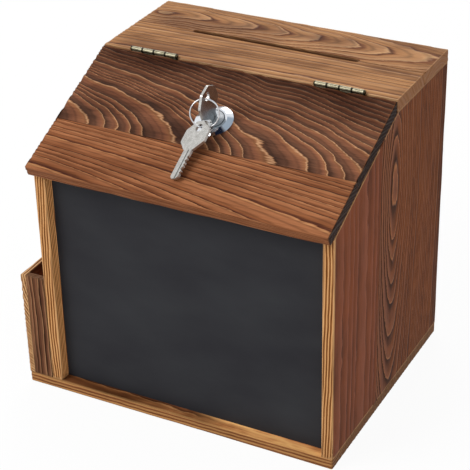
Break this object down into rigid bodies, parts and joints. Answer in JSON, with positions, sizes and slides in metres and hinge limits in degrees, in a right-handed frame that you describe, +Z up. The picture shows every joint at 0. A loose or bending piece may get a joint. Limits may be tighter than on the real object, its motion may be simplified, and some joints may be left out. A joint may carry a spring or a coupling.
{
  "type": "suggestion box",
  "caption": "Wooden suggestion box with a sloping lid on butt hinges, cam lock with keys, paper slot in the flat top, recessed chalkboard and side card pocket.",
  "frame": {"origin": "middle of the base board's underside", "axes": "+Z up; the chalkboard faces -Y; the card pocket is on the -X side"},
  "size_m": [0.2554, 0.2091, 0.2553],
  "materials": {
    "wood_base": "torched and brushed softwood, clear coat",
    "wood_side": "torched and brushed softwood, clear coat",
    "wood_top": "torched and brushed softwood, clear coat",
    "wood_lid_dark": "charred and brushed softwood, clear coat",
    "wood_lid_red": "charred and brushed softwood, clear coat",
    "wood_pocket": "torched and brushed softwood, clear coat",
    "chalkboard": "matte chalkboard paint on hardboard",
    "hinge_brass": "antique",
    "pin_brass": "antique",
    "screw_brass": "antique",
    "lock_chrome": "polished",
    "plug_steel": "satin",
    "zinc_steel": "zinc plated",
    "nail_steel": "plain",
    "key_nickel": "satin nickel plated",
    "ring_steel": "sprung steel wire"
  },
  "bodies": {
    "case": {"base_board": "wood_base", "left_side_front_board": "wood_side", "left_side_rear_board": "wood_side", "right_side_front_board": "wood_side", "right_side_rear_board": "wood_side", "back_lower_board": "wood_side", "back_upper_board": "wood_side", "top_front_board": "wood_top", "top_rear_board": "wood_top", "chalkboard": "chalkboard", "lock_rail": "wood_side", "pocket_outer_wall": "wood_pocket", "pocket_front_wall": "wood_pocket", "pocket_back_wall": "wood_pocket", "base_nails": "nail_steel", "pocket_nails": "nail_steel", "top_leaf_screws": "screw_brass", "left_hinge_top_leaf": "hinge_brass", "left_hinge_pin": "pin_brass", "right_hinge_top_leaf": "hinge_brass", "right_hinge_pin": "pin_brass"},
    "lid": {"lid_upper_board": "wood_lid_dark", "lid_lower_board": "wood_lid_red", "left_hinge_lid_leaf": "hinge_brass", "right_hinge_lid_leaf": "hinge_brass", "lid_leaf_screws": "screw_brass", "lock_housing": "lock_chrome", "lock_washer": "zinc_steel", "lock_nut": "zinc_steel"},
    "lock_cylinder": {"lock_plug": "plug_steel", "lock_cam": "zinc_steel", "cam_screw": "zinc_steel"},
    "key": {"key": "key_nickel"},
    "ring": {"split_ring": "ring_steel"},
    "spare_key": {"spare_key": "key_nickel"}
  },
  "joints": [
    {"name": "lid_hinge", "type": "hinge", "parent": "case", "child": "lid", "pos_m": [0.01025, 0.003, 0.2462], "axis": [-1, 0, 0], "range_deg": [0, 135]},
    {"name": "lock_turn", "type": "hinge", "parent": "lid", "child": "lock_cylinder", "pos_m": [0.00925, -0.04229, 0.22503], "axis": [0, 0.4035, -0.915], "range_deg": [0, 90]},
    {"name": "key_pull", "type": "slide", "parent": "lock_cylinder", "child": "key", "axis": [0, -0.4035, 0.915], "range_m": [0, 0.022]},
    {"name": "ring_swing", "type": "hinge", "parent": "key", "child": "ring", "pos_m": [0.00925, -0.05254, 0.24826], "axis": [-1, 0, 0], "range_deg": [0, 80]},
    {"name": "spare_key_swing", "type": "hinge", "parent": "ring", "child": "spare_key", "pos_m": [0.00838, -0.05852, 0.22729], "axis": [-0.9095, -0.3673, 0.1949], "range_deg": [0, 30]}
  ]
}
